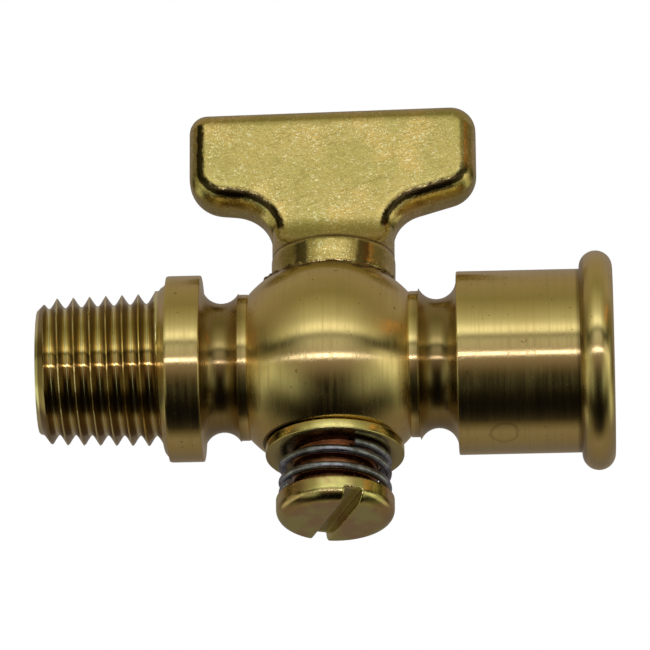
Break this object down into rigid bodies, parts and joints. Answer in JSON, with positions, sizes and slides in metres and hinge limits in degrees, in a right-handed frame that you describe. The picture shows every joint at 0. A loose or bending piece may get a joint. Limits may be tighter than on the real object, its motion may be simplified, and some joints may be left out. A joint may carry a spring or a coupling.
{
  "type": "plug cock",
  "caption": "Brass plug cock: male pipe thread, round collar, ball body with a spring-loaded taper plug and T handle, and an open priming cup.",
  "frame": {"origin": "on the flow line, in the plane where the collar starts at the large end of the pipe thread", "axes": "+X along the flow line towards the cup's mouth, +Z along the plug towards its handle, +Y across"},
  "size_m": [0.05, 0.019, 0.0391],
  "materials": {
    "turned_brass": "turned, with fine tool marks round the flow line",
    "forged_brass": "forged and tumbled to a satin, with fine scratches",
    "washer_brass": "stamped, smooth",
    "spring_steel": "drawn wire, smooth",
    "screw_brass": "turned and tumbled, smooth"
  },
  "bodies": {
    "body": {"valve_body": "turned_brass"},
    "plug": {"plug_handle": "forged_brass", "key_washer": "washer_brass"},
    "spring": {"tension_spring": "spring_steel"},
    "screw": {"tension_screw": "screw_brass"}
  },
  "joints": [
    {"name": "handle_turn", "type": "hinge", "parent": "body", "child": "plug", "pos_m": [0.0143, 0, 0], "axis": [0, 0, 1], "continuous": true},
    {"name": "screw_feed", "type": "slide", "parent": "plug", "child": "spring", "axis": [0, 0, 1], "range_m": [-0.0021, 0.00023], "deforming": ["tension_spring"]},
    {"name": "screw_turn", "type": "hinge", "parent": "spring", "child": "screw", "pos_m": [0.0143, 0, 0], "axis": [0, 0, 1], "range_deg": [-720, 80]}
  ],
  "couplings": [
    {"joint": "screw_turn", "follows": "screw_feed", "rad_per_m": 5936.8}
  ]
}
